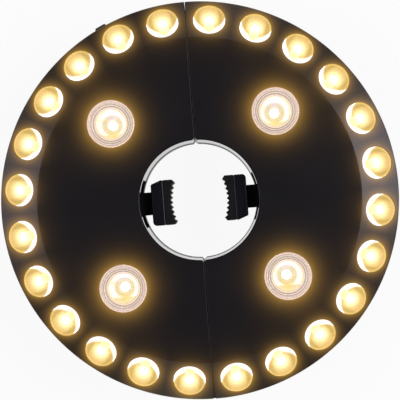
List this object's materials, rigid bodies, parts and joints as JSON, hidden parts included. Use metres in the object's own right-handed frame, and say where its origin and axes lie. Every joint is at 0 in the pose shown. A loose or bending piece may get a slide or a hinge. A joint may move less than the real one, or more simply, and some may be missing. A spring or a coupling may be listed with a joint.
{
  "type": "patio umbrella light",
  "caption": "Round black light that opens like a clam and grips an umbrella pole with two sprung jaws, with lamps round a sloping rim and spot lamps on the face.",
  "frame": {"origin": "centre of the pole hole on the back face, which the light rests on", "axes": "+Z out of the lamp face, +Y towards the end of the seam that opens, hinge at -Y, jaws slide along X"},
  "size_m": [0.2, 0.2, 0.0365],
  "materials": {
    "housing": "satin moulded",
    "housing_back": "fine texture",
    "circuit_board": "solder mask",
    "reflector": "metallised",
    "warm_led": "clear warm epoxy, lit",
    "lens": "clear moulded",
    "jaw_plastic": "satin moulded",
    "jaw_rubber": "matte",
    "spring_steel": "drawn wire",
    "screw_steel": "zinc plated",
    "bail_wire": "drawn wire",
    "cell_sleeve": "gloss sleeve",
    "contact_metal": "nickel plated",
    "cable_jacket": "matte",
    "button_rubber": "matte",
    "switch_plastic": "moulded"
  },
  "bodies": {
    "left_half": {"front_cover_left": "housing", "back_cover_left": "housing_back", "led_board_left": "circuit_board", "rim_reflector_left": "reflector", "rim_leds_left": "warm_led", "spot_lens_upper_left": "lens", "spot_lens_lower_left": "lens", "spot_reflector_upper_left": "reflector", "spot_reflector_lower_left": "reflector", "spot_leds_left": "warm_led", "jaw_guide_left": "jaw_plastic", "jaw_spring_left": "spring_steel", "battery_cell_inner_left": "cell_sleeve", "battery_cell_outer_left": "cell_sleeve", "battery_contacts_left": "contact_metal", "housing_screws_left": "screw_steel", "hinge_pin": "screw_steel", "hinge_spring": "spring_steel", "link_cable": "cable_jacket", "mode_switch": "switch_plastic"},
    "right_half": {"front_cover_right": "housing", "back_cover_right": "housing_back", "led_board_right": "circuit_board", "rim_reflector_right": "reflector", "rim_leds_right": "warm_led", "spot_lens_upper_right": "lens", "spot_lens_lower_right": "lens", "spot_reflector_upper_right": "reflector", "spot_reflector_lower_right": "reflector", "spot_leds_right": "warm_led", "jaw_guide_right": "jaw_plastic", "jaw_spring_right": "spring_steel", "battery_cell_inner_right": "cell_sleeve", "battery_cell_outer_right": "cell_sleeve", "battery_contacts_right": "contact_metal", "housing_screws_right": "screw_steel"},
    "jaw_left": {"jaw_slider_left": "jaw_plastic", "jaw_pad_left": "jaw_rubber"},
    "jaw_right": {"jaw_slider_right": "jaw_plastic", "jaw_pad_right": "jaw_rubber"},
    "battery_door_left": {"battery_door_left": "housing_back"},
    "battery_door_right": {"battery_door_right": "housing_back"},
    "hanging_bail_left": {"hanging_bail_left": "bail_wire"},
    "hanging_bail_right": {"hanging_bail_right": "bail_wire"},
    "mode_button": {"mode_button": "button_rubber"}
  },
  "joints": [
    {"name": "half_hinge", "type": "hinge", "parent": "left_half", "child": "right_half", "pos_m": [0, -0.097, 0], "axis": [0, 0, -1], "range_deg": [0, 26], "stiffness_Nm_per_rad": 0.15, "springref_deg": -57.3, "deforming": ["hinge_spring", "link_cable"]},
    {"name": "jaw_left_slide", "type": "slide", "parent": "left_half", "child": "jaw_left", "axis": [-1, 0, 0], "range_m": [0, 0.011], "stiffness_N_per_m": 600, "springref_m": -0.012, "deforming": ["jaw_spring_left"]},
    {"name": "battery_door_left_open", "type": "hinge", "parent": "left_half", "child": "battery_door_left", "pos_m": [-0.0562, 0, 0.0003], "axis": [0, -1, 0], "range_deg": [0, 90]},
    {"name": "hanging_bail_left_fold", "type": "hinge", "parent": "left_half", "child": "hanging_bail_left", "pos_m": [-0.0382, 0, 0.0017], "axis": [0, -1, 0], "range_deg": [0, 90]},
    {"name": "jaw_right_slide", "type": "slide", "parent": "right_half", "child": "jaw_right", "axis": [1, 0, 0], "range_m": [0, 0.011], "stiffness_N_per_m": 600, "springref_m": -0.012, "deforming": ["jaw_spring_right"]},
    {"name": "battery_door_right_open", "type": "hinge", "parent": "right_half", "child": "battery_door_right", "pos_m": [0.0562, 0, 0.0003], "axis": [0, 1, 0], "range_deg": [0, 90]},
    {"name": "hanging_bail_right_fold", "type": "hinge", "parent": "right_half", "child": "hanging_bail_right", "pos_m": [0.0382, 0, 0.0017], "axis": [0, 1, 0], "range_deg": [0, 90]},
    {"name": "mode_button_press", "type": "slide", "parent": "left_half", "child": "mode_button", "axis": [0.4305, -0.9026, 0], "range_m": [0, 0.0007], "stiffness_N_per_m": 800, "springref_m": -0.0008}
  ]
}
